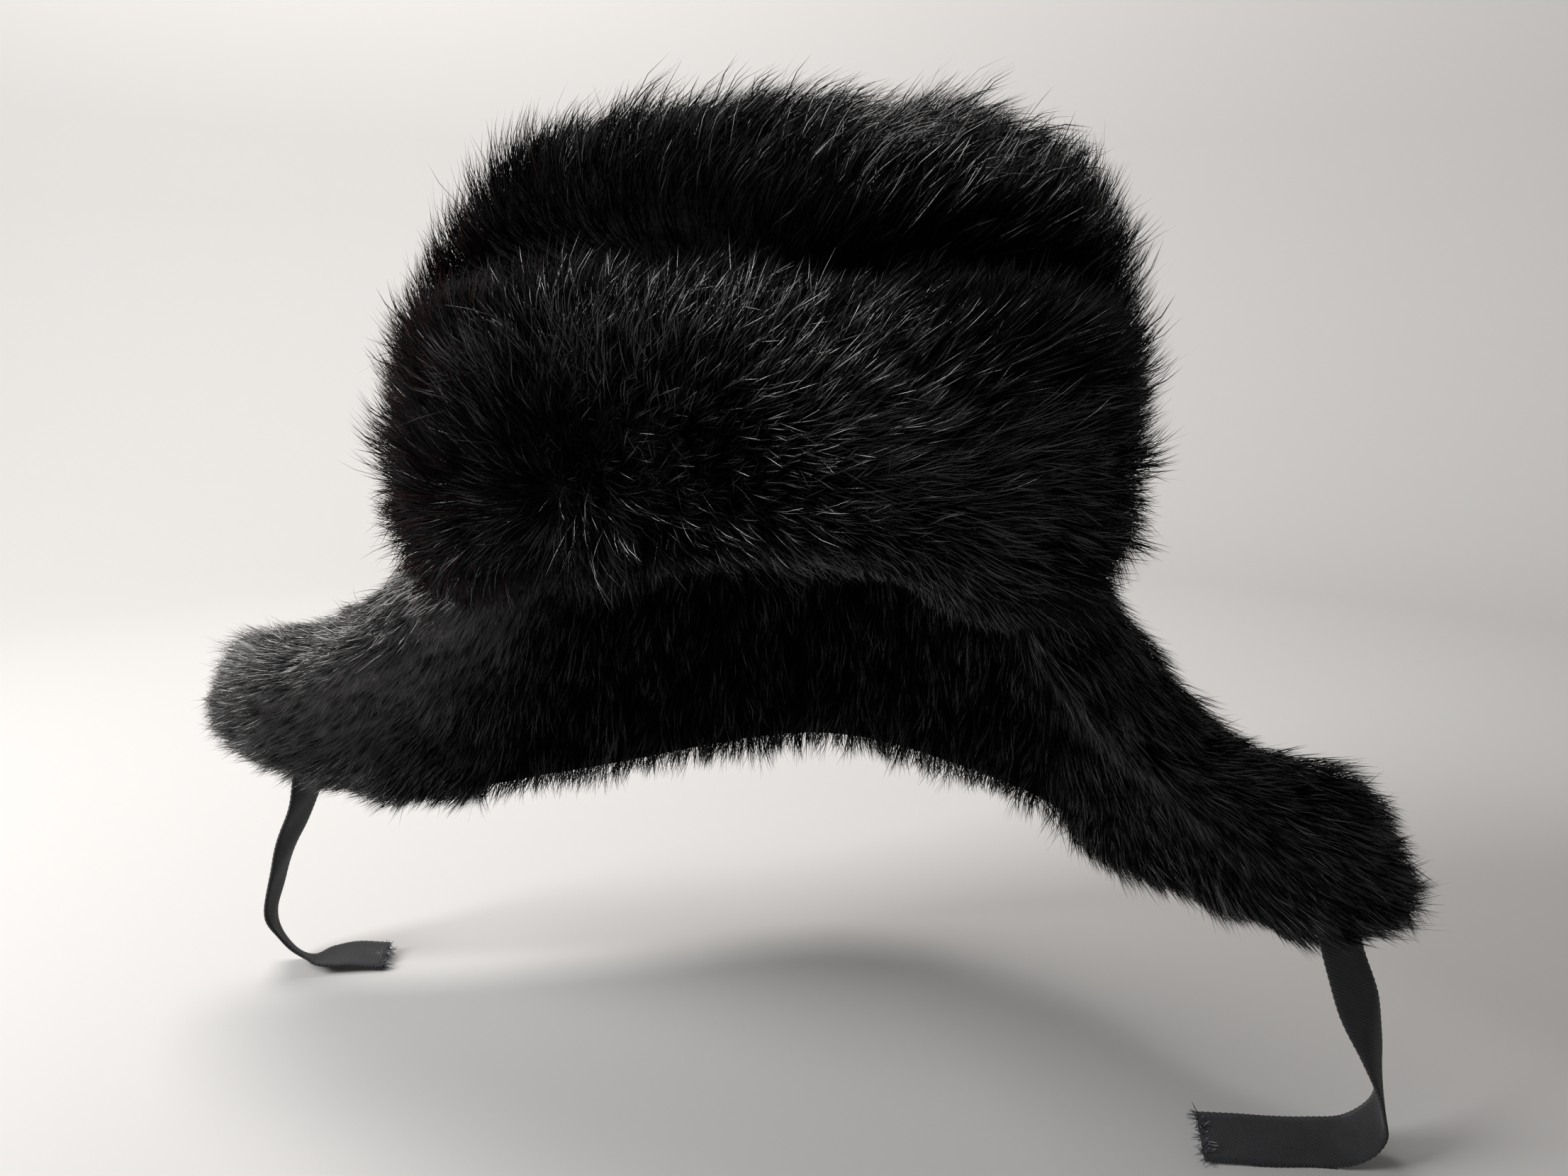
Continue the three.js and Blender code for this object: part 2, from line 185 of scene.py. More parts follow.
def crownPlace(u, v):  # u runs round with the forehead at 0.5, v from the top (0) down to the rim (1) and on
    rise = np.interp(np.clip(v, 0, 1) * crownArc, profileArc, profileRise)
    angle = 2 * np.pi * (u - 0.5)
    level = np.cos(rise) ** crownPower
    x = crown["halfWidth"] * level * np.sin(angle)
    y = -crown["halfDepth"] * level * np.cos(angle)
    z = crown["height"] * np.sin(rise) ** crownPower - np.maximum(0, v - 1) * crownArc
    return settle(x, y, z, crown["archTop"])


frontFlap = {
    "halfAngle": 60, "height": 68, "thickness": 4,
    "cornerDrop": 0.12, "cornerPower": 6,  # the top edge drops by this share, and how suddenly at its ends
    "fold": [(68, 11), (56, 13), (38, 14), (18, 14), (0, 12), (-8, 8), (-5, 3)],  # height, and way out
}
frontFold = curveThrough(frontFlap["fold"])


def frontPlace(u, v):  # u runs across the forehead, v from the flap's top edge down round the fold
    across = 2 * np.asarray(u) - 1
    angle = np.radians(frontFlap["halfAngle"] * across)
    height, out = np.moveaxis(frontFold(v), -1, 0)
    drop = frontFlap["cornerDrop"] * across ** frontFlap["cornerPower"]
    z = np.where(height > 0, height * (1 - drop), height)
    share = np.maximum(0, z) / crown["height"]
    level = (1 - share ** crown["squareness"]) ** (1 / crown["squareness"])
    x = (crown["halfWidth"] * level + out) * np.sin(angle)
    y = -(crown["halfDepth"] * level + out) * np.cos(angle)
    return settle(x, y, z, frontFlap["height"])


bandSections = [  # points at the rim, half way down and on the lower edge, from the right temple round
    ((-86, -52, -6), (-148, -26, -46), (-216, 6, -77)),
    ((-92, -27, -7), (-172, 6, -64), (-250, 30, -99)),
    ((-95, 4, -8), (-170, 36, -84), (-240, 46, -126)),
    ((-92, 42, -7), (-142, 56, -92), (-178, 56, -143)),
    ((-72, 80, -5), (-98, 86, -76), (-110, 82, -139)),
    ((0, 111, -3), (0, 124, -64), (0, 122, -128)),
    ((72, 80, -5), (92, 88, -76), (92, 90, -135)),
    ((92, 42, -7), (122, 52, -94), (142, 44, -144)),
    ((95, 4, -8), (144, 20, -92), (194, 8, -146)),
    ((92, -27, -7), (146, -14, -76), (213, -10, -124)),
    ((86, -52, -6), (128, -42, -62), (188, -28, -98)),
]
bandCurves = [curveThrough([section[k] for section in bandSections]) for k in range(3)]


def bandPlace(u, v):  # u runs round the opening from the right temple, v from the rim down
    w = np.asarray(v)[..., None]
    rim, middle, low = (curve(u) for curve in bandCurves)
    return rim * 2 * (w - 0.5) * (w - 1) - middle * 4 * w * (w - 1) + low * 2 * w * (w - 0.5)


def surfaceAt(place, u, v):  # point, normal and directions of a surface, which runs on straight past 0 and 1
    cu, cv = np.clip(u, smallStep, 1 - smallStep), np.clip(v, smallStep, 1 - smallStep)
    along = (place(cu + smallStep, cv) - place(cu - smallStep, cv)) / (2 * smallStep)
    down = (place(cu, cv + smallStep) - place(cu, cv - smallStep)) / (2 * smallStep)
    point = place(cu, cv) + along * (u - cu)[:, None] + down * (v - cv)[:, None]
    return point, unit(np.cross(down, along)), unit(along), unit(down)


# Meshes

def moveVerts(bm, points):
    for vert, point in zip(bm.verts, points):
        vert.co = Vector(point)


def inFixedOrder(bm):
    # Extrude and spin number their parts differently from run to run, so the parts are put in order here.
    bm.verts.index_update()
    spots = [v.co.copy() for v in bm.verts]
    order = sorted(range(len(spots)), key=lambda i: [round(c, 3) for c in spots[i]])
    place = {old: new for new, old in enumerate(order)}
    rows = []
    for f in bm.faces:
        row = [place[v.index] for v in f.verts]
        first = row.index(min(row))
        rows.append(row[first:] + row[:first])
    bm.clear()
    verts = [bm.verts.new(spots[i]) for i in order]
    for row in sorted(rows):
        bm.faces.new([verts[i] for i in row])
    bm.verts.index_update()
    bm.normal_update()


def evenDepth(depth):  # the same depth all over, for wrapSlab
    return lambda u, v: np.full(len(u), float(depth))


def wrapSlab(bm, place, us, vs, frontDepth, backDepth):
    # A flat slab, drawn over the surface: x and y run over us and vs, z from the back to the front.
    # Both us and vs are start, end and steps.
    bmesh.ops.create_grid(bm, x_segments=us[2], y_segments=vs[2], size=0.5)
    lifted = bmesh.ops.extrude_face_region(bm, geom=bm.faces[:], use_keep_orig=True)
    upper = [part for part in lifted["geom"] if isinstance(part, bmesh.types.BMVert)]
    bmesh.ops.translate(bm, vec=(0, 0, 1), verts=upper)
    bmesh.ops.recalc_face_normals(bm, faces=bm.faces[:])
    inFixedOrder(bm)
    flat = np.array([v.co[:] for v in bm.verts])
    u = us[0] + (us[1] - us[0]) * (flat[:, 0] + 0.5)
    v = vs[0] + (vs[1] - vs[0]) * (flat[:, 1] + 0.5)
    point, normal, along, down = surfaceAt(place, u, v)
    isFront = flat[:, 2] > 0.5
    depth = np.where(isFront, frontDepth(u, v), -backDepth(u, v))
    moveVerts(bm, point + normal * depth[:, None])
    bm.normal_update()
    if bm.calc_volume(signed=True) < 0:
        bmesh.ops.reverse_faces(bm, faces=bm.faces[:])
    return u, v, isFront, along, down


def spinProfile(profile, steps, merge):  # a profile of x and z, turned once round the Z axis
    bm = bmesh.new()
    rail = [bm.verts.new((x, 0, z)) for x, z in profile]
    edges = [bm.edges.new(pair) for pair in zip(rail, rail[1:])]
    bmesh.ops.spin(bm, geom=rail + edges, cent=(0, 0, 0), axis=(0, 0, 1), angle=math.tau, steps=steps,
                   use_merge=True)
    bmesh.ops.remove_doubles(bm, verts=bm.verts[:], dist=merge)
    return bm


def newPiece(name, mesh, material):
    piece = bpy.data.objects.new(name, mesh)
    piece.data.materials.append(material)
    scene.collection.objects.link(piece)
    return piece


def peltPiece(name, bm, material, levels=1):  # a slab as a piece of its own, smoothed, in metres
    bmesh.ops.scale(bm, vec=(millimetre,) * 3, verts=bm.verts[:])
    mesh = bpy.data.meshes.new(name)
    bm.to_mesh(mesh)
    bm.free()
    mesh.shade_smooth()
    piece = newPiece(name, mesh, material)
    smoothing = piece.modifiers.new("smoothing", "SUBSURF")
    smoothing.levels = levels
    smoothing.render_levels = levels
    return piece


def meshFromArrays(name, points, triangles, uv):  # one joined mesh of many small blades
    mesh = bpy.data.meshes.new(name)
    mesh.vertices.add(len(points))
    mesh.vertices.foreach_set("co", (points * millimetre).astype(np.float32).ravel())
    mesh.loops.add(triangles.size)
    mesh.loops.foreach_set("vertex_index", triangles.astype(np.int32).ravel())
    mesh.polygons.add(len(triangles))
    mesh.polygons.foreach_set("loop_start", np.arange(0, triangles.size, 3, dtype=np.int32))
    mesh.polygons.foreach_set("use_smooth", np.ones(len(triangles), bool))
    mesh.update(calc_edges=True)
    layer = mesh.uv_layers.new(name="OFBake")
    layer.data.foreach_set("uv", uv[triangles.ravel()].astype(np.float32).ravel())
    mesh.validate()
    return mesh


# Hair

hairSetup = {  # what all the hairs share, in millimetres and degrees
    "leanWave": 32, "liftWave": 24, "growthWave": 30,  # from wave to wave of lie, stand and length
    "unevenLift": 5, "unevenGrowth": 0.3, "growthLimits": (0.5, 1.6), "sway": 0.06, "rootDepth": 1.0,
    "firstLimits": (2, 86), "lastLimits": (15, 100), "liftAtTip": 0.7, "leastBend": 0.05,
    "pull": (0.6, 0.8), "breadth": (0.75, 0.5),  # the least share, and what chance adds to it
    "taper": ((0, 0.35, 0.7, 1), (0.85, 1, 0.72, 0)),  # places along a hair, and its breadth there
    "roundness": 60,  # how far the shading turns over a hair's breadth, to either side
    "stray": {"lean": 2.4, "lift": 16, "growth": 1.15, "pull": 0.1, "breadth": 0.65},
    # The last tint marks a few glossy hairs drawn lighter grey towards the tip: painted glints.
    "tint": {"plain": 0.02, "brown": 0.5, "glossy": 0.25, "chance": 0.14, "paintedGlint": 0.94},
    "mapSide": 0.004, "mapAlong": (0.02, 0.96),
}


def hairGround(bm, comb, **values):
    # What the hair needs to know of its pelt: triangles, and values at their corners. Length and density
    # are shares of the setup's, brown and sheen are shares of the hairs, lift is in degrees and mess widens
    # the lean.
    bmesh.ops.triangulate(bm, faces=bm.faces[:])
    bm.verts.index_update()
    bm.normal_update()
    plain = {"length": 1, "density": 1, "brown": 0, "sheen": 1, "lift": 0, "mess": 1}
    return {
        "points": np.array([v.co[:] for v in bm.verts]),
        "normals": np.array([v.normal[:] for v in bm.verts]),
        "corners": np.array([[v.index for v in f.verts] for f in bm.faces]),
        "comb": comb, **{key: np.ones(len(bm.verts)) * value for key, value in {**plain, **values}.items()},
    }


def blendAnchors(anchors, u, v, wide=2.2, blur=0.002):  # values known at a few places, blended in between
    blended, total = 0, 0
    for anchorU, anchorV, *known in anchors:
        near = 1 / ((wide * (u - anchorU)) ** 2 + (v - anchorV) ** 2 + blur) ** 2
        blended, total = blended + near[:, None] * np.array(known), total + near[:, None]
    return (blended / total).T


def chance(rng, count, least, more):  # random values from the least up
    return least + more * rng.random(count)


def waver(points, rng, wavelength):  # random values that change smoothly from place to place
    value = 0
    for _ in range(6):
        way = unit(rng.standard_normal(3))
        length = wavelength * chance(rng, None, 0.7, 0.8)
        value = value + np.sin(points @ way * 2 * math.pi / length + 2 * math.pi * rng.random())
    return value / 1.7  # so that six waves together are about as high as one


def growHair(name, ground, setup, material, seed):
    rng = np.random.default_rng(seed)
    count = setup["count"]
    corners = ground["corners"]
    points = ground["points"]
    a, b, c = (points[corners[:, k]] for k in range(3))
    area = np.linalg.norm(np.cross(b - a, c - a), axis=1) * ground["density"][corners].mean(axis=1)
    total = np.cumsum(area)
    chosen = corners[np.searchsorted(total, rng.random(count) * total[-1])]
    shares = rng.random((count, 2))
    shares = np.where(shares.sum(axis=1, keepdims=True) > 1, 1 - shares, shares)
    weights = np.column_stack([1 - shares.sum(axis=1), shares])

    def spread(values):
        return (values[chosen] * (weights if values.ndim == 1 else weights[..., None])).sum(axis=1)

    root, normal = spread(points), unit(spread(ground["normals"]))
    comb = spread(ground["comb"])
    comb = unit(comb - normal * dot(comb, normal))
    # Neighbouring hairs share a tuft, whose tips run together.
    tuftCount = int(count / setup["perTuft"])
    tree = KDTree(tuftCount)
    for i in range(tuftCount):
        tree.insert(root[i], i)
    tree.balance()
    tuft = np.array([tree.find(p)[1] for p in root])
    towards = root[tuft] - root
    towards -= normal * dot(towards, normal)
    lean = np.radians(setup["tuftLean"]) * rng.standard_normal(tuftCount)[tuft]
    lean += np.radians(setup["hairLean"]) * rng.standard_normal(count)
    lean += np.radians(setup["drift"]) * waver(root, rng, hairSetup["leanWave"])
    lean *= spread(ground["mess"])
    lift = setup["tuftLift"] * rng.standard_normal(tuftCount)[tuft]
    lift += hairSetup["unevenLift"] * rng.standard_normal(count)
    lift += spread(ground["lift"]) + setup["drift"] * waver(root, rng, hairSetup["liftWave"])
    uneven = 1 + setup["uneven"] * waver(root, rng, hairSetup["growthWave"])
    growth = 1 + setup["tuftGrowth"] * (rng.random(tuftCount)[tuft] - 0.5)
    growth += hairSetup["unevenGrowth"] * (rng.random(count) - 0.5)
    # A few hairs stray: they lie further round, stand higher, are longer and finer, and keep out of the tuft.
    isStray = rng.random(count) < setup["strays"]
    stray = hairSetup["stray"]
    lean = np.where(isStray, lean * stray["lean"], lean)
    lift = np.where(isStray, lift + stray["lift"], lift)
    growth = np.where(isStray, growth * stray["growth"], growth)
    pull = np.where(isStray, stray["pull"], setup["pull"] * chance(rng, count, *hairSetup["pull"]))
    uneven = np.clip(uneven, *hairSetup["growthLimits"])
    length = setup["length"] * spread(ground["length"]) * growth * uneven
    flow = comb * np.cos(lean)[:, None] + np.cross(normal, comb) * np.sin(lean)[:, None]
    # Each hair bends from its first to its last angle off the normal.
    atRoot, atTip = setup["angles"]
    first = np.radians(np.clip(atRoot - lift, *hairSetup["firstLimits"]))
    last = np.radians(np.clip(atTip - lift * hairSetup["liftAtTip"], *hairSetup["lastLimits"]))
    last = np.where(np.abs(last - first) < hairSetup["leastBend"], first + hairSetup["leastBend"], last)
    turn = last - first
    sway = hairSetup["sway"] * length * rng.standard_normal(count)
    times = setup["rings"]
    rings = []
    for t in times:
        angle = first + turn * t
        out = (np.sin(angle) - np.sin(first)) / turn * length
        over = (np.cos(first) - np.cos(angle)) / turn * length
        ring = root + normal * (out - hairSetup["rootDepth"])[:, None] + flow * over[:, None]
        ring += towards * (pull * t ** 1.4)[:, None]
        ring += np.cross(normal, flow) * (sway * t * t)[:, None]
        drooped = ring[:, 2] - setup["droop"] * length * t * t
        ring[:, 2] = np.maximum(drooped, setup.get("lowest", -math.inf))
        rings.append(ring)
    rings = np.stack(rings, axis=1)
    tangent = unit(np.gradient(rings, axis=1))
    roll = np.radians(setup["roll"]) * rng.standard_normal(count)
    upright = unit(normal[:, None] - tangent * dot(tangent, normal[:, None]))
    sideways = np.cross(tangent, upright)
    cosRoll, sinRoll = np.cos(roll)[:, None, None], np.sin(roll)[:, None, None]
    across = sideways * cosRoll + upright * sinRoll
    facing = upright * cosRoll - sideways * sinRoll
    breadth = setup["width"] * chance(rng, count, *hairSetup["breadth"])
    breadth *= np.where(isStray, stray["breadth"], 1)
    shape = np.interp(times, *hairSetup["taper"])
    half = across * (breadth[:, None] * shape)[..., None] / 2
    # A hair is a narrow blade: two points to a ring and one at the tip, shaded as if it were round.
    tip = len(times) - 1
    size = 2 * tip + 1
    bulge = across * math.sin(math.radians(hairSetup["roundness"]))
    blade = np.stack([rings - half, rings + half], axis=2).reshape(count, -1, 3)[:, :size]
    shading = np.stack([facing - bulge, facing + bulge], axis=2).reshape(count, -1, 3)[:, :size]
    shading[:, -1] = facing[:, -1]
    faces = [(2 * k, 2 * k + 1, 2 * k + 3) for k in range(tip - 1)]
    faces += [(2 * k, 2 * k + 3, 2 * k + 2) for k in range(tip - 1)] + [(2 * tip - 2, 2 * tip - 1, 2 * tip)]
    triangles = (np.arange(count)[:, None, None] * size + np.array(faces)).reshape(-1, 3)
    # The map tells the material the hair's tint, and how far along it a place lies. The tints run from dull
    # black over glossy black, dull brown and glossy brown to lighter grey, painted glints on a few glossy
    # hairs.
    tints = hairSetup["tint"]
    isBrown = rng.random(count) < spread(ground["brown"])
    isGlossy = rng.random(count) < spread(ground["sheen"])
    tint = tints["plain"] + tints["brown"] * isBrown + tints["glossy"] * isGlossy
    tint = tint + tints["chance"] * rng.random(count)
    # A few glossy hairs take the lighter grey tint of painted glints.
    tint = np.where(isGlossy & (rng.random(count) < setup.get("paintedGlint", 0)), tints["paintedGlint"], tint)
    mapStart, mapLength = hairSetup["mapAlong"]
    along = mapStart + mapLength * np.repeat(times, 2)[:size]
    sides = np.tile((-hairSetup["mapSide"], hairSetup["mapSide"]), tip + 1)[:size]
    uv = np.stack([tint[:, None] + sides, np.broadcast_to(along, (count, size))], axis=-1)
    mesh = meshFromArrays(name, blade.reshape(-1, 3), triangles, uv.reshape(-1, 2))
    mesh.normals_split_custom_set_from_vertices(unit(shading).reshape(-1, 3))
    return newPiece(name, mesh, material)


# Ties: flat cotton tapes, about 18 mm wide, from the tips of the ear flaps

tapeSetup = {
    "width": 18, "thickness": 1.2, "alongSteps": 180, "acrossSteps": 8, "pathPoints": 60, "lowest": -236.2,
    "curl": 1.1, "curlWave": (3, 7), "ripple": 0.5, "rippleWave": 31, "scallop": 0.018, "scallopWave": 2.8,
    "slant": 2,  # how far the waves run on from one edge of the tape to the other
}
looseThreads = {
    "count": 130, "length": 4.4, "width": 0.32, "angles": (70, 25), "perTuft": 5, "tuftLean": 26, "drift": 0,
    "uneven": 0, "hairLean": 20, "tuftLift": 16, "tuftGrowth": 0.9, "pull": 0.3, "strays": 0.04,
    "droop": 0.05, "roll": 60, "rings": (0, 0.34, 0.7, 1), "lowest": -236.4,
    "along": (0.985, 0.999, 2), "across": (0, 1, 12), "half": 0.5,  # the strip of tape that they grow from
}
rightRoute = [  # points along the middle of the tape, and the way across it there
    ((-224, 46, -132), (0.3, 0.95, 0)), ((-229, 47, -148), (0.24, 0.97, 0)),
    ((-236, 48, -163), (0.12, 0.99, 0)), ((-243, 49, -178), (0, 1, 0)),
    ((-249, 49, -194), (-0.15, 0.98, -0.05)), ((-253, 49, -209), (-0.32, 0.92, -0.2)),
    ((-250.5, 49, -220), (-0.43, 0.82, -0.37)), ((-244, 50, -229), (-0.48, 0.78, -0.4)),
    ((-236, 52, -233.6), (-0.48, 0.8, -0.28)), ((-227, 55, -232.8), (-0.42, 0.91, 0)),
    ((-217, 58, -231.8), (-0.33, 0.93, 0.15)), ((-203, 62, -233), (-0.3, 0.94, 0.17)),
]
leftRoute = [
    ((205, -3, -142), (0.8, 0.6, 0)), ((210, -4, -158), (0.88, 0.48, 0)),
    ((216, -5, -174), (0.86, 0.51, 0)), ((222, -6, -190), (0.62, 0.78, 0)),
    ((226, -6, -206), (0.2, 0.98, 0.05)), ((226, -5, -219), (0.02, 0.96, 0.28)),
    ((218, -5, -228.5), (-0.12, 0.86, 0.5)), ((205, -6, -231), (-0.08, 0.82, 0.57)),
    ((191, -8, -231), (-0.05, 0.82, 0.57)), ((178, -9, -231), (-0.05, 0.84, 0.54)),
    ((164, -10, -231.3), (-0.05, 0.86, 0.5)),
]


def tapeMaterial():
    # Cotton twill tape, dyed blue black: matte, with fine diagonal ribs that catch a little light.
    material, tree, principled = newMaterial("cottonTwillTape", {"Roughness": 0.85, "IOR": 1.5})
    principled.inputs["Sheen Weight"].default_value = 0.08
    principled.inputs["Sheen Roughness"].default_value = 0.5
    uv = addNode(tree, "ShaderNodeUVMap", {"uv_map": "OFBake"})
    # The map is in millimetres. A twill rib is about 0.8 mm wide, drawn at 1.3 mm so that it shows.
    turned = addNode(tree, "ShaderNodeMapping", {"Rotation": (0, 0, math.radians(38))},
                     {"Vector": uv.outputs[0]})
    ribs = addNode(tree, "ShaderNodeTexWave",
                   {"Scale": 0.31, "Distortion": 0.6, "Detail": 1.0, "Detail Scale": 2.0},
                   {"Vector": turned.outputs[0]})
    wear = addNode(tree, "ShaderNodeTexNoise", {"Scale": 0.12, "Detail": 6.0, "Roughness": 0.75},
                   {"Vector": uv.outputs[0]})
    ribColour = colourRamp(tree, ribs.outputs["Fac"], [(0.15, "#050608"), (0.9, "#1f232b")])
    wearColour = colourRamp(tree, wear.outputs["Fac"], [(0.35, "#747a84"), (0.7, "#ffffff")])
    mixed = addNode(tree, "ShaderNodeMix", {"data_type": "RGBA", "blend_type": "MULTIPLY", 0: 1.0},
                    {6: ribColour, 7: wearColour})
    tree.links.new(mixed.outputs[2], principled.inputs["Base Color"])
    addBump(tree, principled, ribs.outputs["Fac"], 0.8, 0.0004)
    return material


def threadMaterial():
    # Cotton threads of the tape, lighter towards their loose ends: partly wear of the threads, partly a
    # painted glint.
    material, tree, principled = newMaterial("looseCottonThread", {"Roughness": 0.5, "IOR": 1.5})
    uv = addNode(tree, "ShaderNodeUVMap", {"uv_map": "OFBake"})
    parts = addNode(tree, "ShaderNodeSeparateXYZ", links={0: uv.outputs[0]})
    tone = colourRamp(tree, parts.outputs["Y"], [(0.0, "#15171b"), (0.6, "#3c4047"), (1.0, "#9498a0")])
    tree.links.new(tone, principled.inputs["Base Color"])
    return material


def tapeLength(route):
    points = curveThrough([row[0] for row in route])(np.linspace(0, 1, 400))
    return float(np.linalg.norm(np.diff(points, axis=0), axis=1).sum())


def tapeSurface(route):  # the tape's middle face: t runs along it and w across it, both from 0 to 1
    centre = curveThrough([row[0] for row in route])
    lying = curveThrough([row[1] for row in route])
    length = tapeLength(route)
    curlStart, curlChange = tapeSetup["curlWave"]

    def place(t, w):
        run = unit(centre(np.clip(t + smallStep, 0, 1)) - centre(np.clip(t - smallStep, 0, 1)))
        across = unit(lying(t) - run * dot(lying(t), run))
        face = np.cross(run, across)
        side = 2 * w - 1
        slant = tapeSetup["slant"] * side
        # The edges curl up a little, the tape ripples where it has been tied, and its width is uneven.
        cup = tapeSetup["curl"] * side ** 2 * np.sin(curlStart + curlChange * t)
        ripple = tapeSetup["ripple"] * np.sin(tapeSetup["rippleWave"] * t + slant) * (1 - t)
        scallop = 1 + tapeSetup["scallop"] * np.sin(length * tapeSetup["scallopWave"] * t + slant)
        reach = side * scallop * tapeSetup["width"] / 2
        spot = centre(t) + across * reach[:, None] + face * (cup + ripple)[:, None]
        spot[:, 2] = np.maximum(spot[:, 2], tapeSetup["lowest"])
        return spot
    return place


def makeTape(name, route, material):
    bm = bmesh.new()
    half = evenDepth(tapeSetup["thickness"] / 2)
    t, w, *_ = wrapSlab(bm, tapeSurface(route), (0, 1, tapeSetup["alongSteps"]),
                        (0, 1, tapeSetup["acrossSteps"]), half, half)
    uvLayer = bm.loops.layers.uv.new("OFBake")
    length = tapeLength(route)
    for f in bm.faces:
        for loop in f.loops:
            i = loop.vert.index
            loop[uvLayer].uv = (t[i] * length, (w[i] - 0.5) * tapeSetup["width"])
    return peltPiece(name, bm, material, 0)


def makeFray(name, route, material, seed):  # loose threads at the cut end of a tape
    bm = bmesh.new()
    half = evenDepth(looseThreads["half"])
    *_, run, _ = wrapSlab(bm, tapeSurface(route), looseThreads["along"], looseThreads["across"], half, half)
    ground = hairGround(bm, run)
    bm.free()
    return growHair(name, ground, looseThreads, material, seed)


tape = tapeMaterial()
threads = threadMaterial()
for side, route, node, seed in (("right", rightRoute, "right_tie", 3), ("left", leftRoute, "left_tie", 4)):
    piece = makeTape(side + "TieTape", route, tape)
    fray = makeFray(side + "TieFray", route, threads, seed)
    path = curveThrough([row[0] for row in route])(np.linspace(0, 1, tapeSetup["pathPoints"])) * millimetre
    for part in (piece, fray):
        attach(part, "root")
    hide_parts(node)
    tapeLength(route) * millimetre
print("ties made")


# Pelts

def guardHairMaterial():
    # Dyed rabbit guard hair: smooth and slightly waxy, so the outer half of a hair has a soft cool highlight.
    # Black, with a red brown cast of the old dye in some hairs. Dull hairs lie among the glossy ones.
    material, tree, principled = newMaterial("dyedRabbitGuardHair", {"Roughness": 0.33, "IOR": 1.55})
    uv = addNode(tree, "ShaderNodeUVMap", {"uv_map": "OFBake"})
    parts = addNode(tree, "ShaderNodeSeparateXYZ", links={0: uv.outputs[0]})
    tint, along = parts.outputs["X"], parts.outputs["Y"]
    black = colourRamp(tree, along, [(0.1, "#040404"), (0.6, "#08080a"), (1.0, "#101113")])
    brown = colourRamp(tree, along, [(0.1, "#060303"), (0.6, "#110807"), (1.0, "#231312")])
    # A few glossy hairs lighter grey towards the tip: painted glints, not a colour of the hair.
    paintedGlint = colourRamp(tree, along, [(0.1, "#060606"), (0.5, "#303133"), (1.0, "#5c5e61")])
    isBrown = addNode(tree, "ShaderNodeMath", {"operation": "GREATER_THAN", 1: 0.47}, {0: tint})
    isPaintedGlint = addNode(tree, "ShaderNodeMath", {"operation": "GREATER_THAN", 1: 0.93}, {0: tint})
    dyed = addNode(tree, "ShaderNodeMix", {"data_type": "RGBA"}, {0: isBrown.outputs[0], 6: black, 7: brown})
    mixed = addNode(tree, "ShaderNodeMix", {"data_type": "RGBA"},
                    {0: isPaintedGlint.outputs[0], 6: dyed.outputs[2], 7: paintedGlint})
    gloss = colourRamp(tree, tint, [(0.2, "#2a2a2a"), (0.24, "#dcdcdc"), (0.46, "#e8e8e8"), (0.5, "#202020"),
                                    (0.7, "#202020"), (0.74, "#b0b0b0"), (1.0, "#e8e8e8")])
    outer = colourRamp(tree, along, [(0.2, "#202020"), (0.75, "#ffffff")])
    level = addNode(tree, "ShaderNodeMix", {"data_type": "RGBA", "blend_type": "MULTIPLY", 0: 1.0},
                    {6: gloss, 7: outer})
    tree.links.new(mixed.outputs[2], principled.inputs["Base Color"])
    tree.links.new(level.outputs[2], principled.inputs["Specular IOR Level"])
    return material


guardHair = guardHairMaterial()
# Dyed rabbit underfur: dense soft down that swallows light. Its strands are 0.1 mm thick, drawn as wisps of
# about 2 mm.
underfur = grainMaterial(
    "dyedRabbitUnderfur", {"Roughness": 0.95, "IOR": 1.45, "Specular IOR Level": 0.08},
    {"Scale": 420, "Detail": 4, "Roughness": 0.7}, [(0.3, "#010101"), (0.75, "#050505")], 0.8, 0.002)


def roundedDepth(full, edge, thinnest=0.3):  # a pelt thins to its free edges
    t = np.clip(edge, 0, 1)
    return full * np.maximum(thinnest, np.sqrt(1 - (1 - t) ** 2))


def dressPelt(name, node, bm, ground, fur, seeds):  # the undercoat in place of a node, and the hairs over it
    pelt = peltPiece(name + "Undercoat", bm, underfur)
    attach(pelt, "root")
    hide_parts(node)
    for part, seed in seeds.items():
        piece = growHair(name + part.capitalize() + "Hair", ground, fur[part], guardHair, seed)
        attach(piece, "root")


# Front flap. Places on it run across from the wearer's right, 0, to the left, 1, and down to the fold.

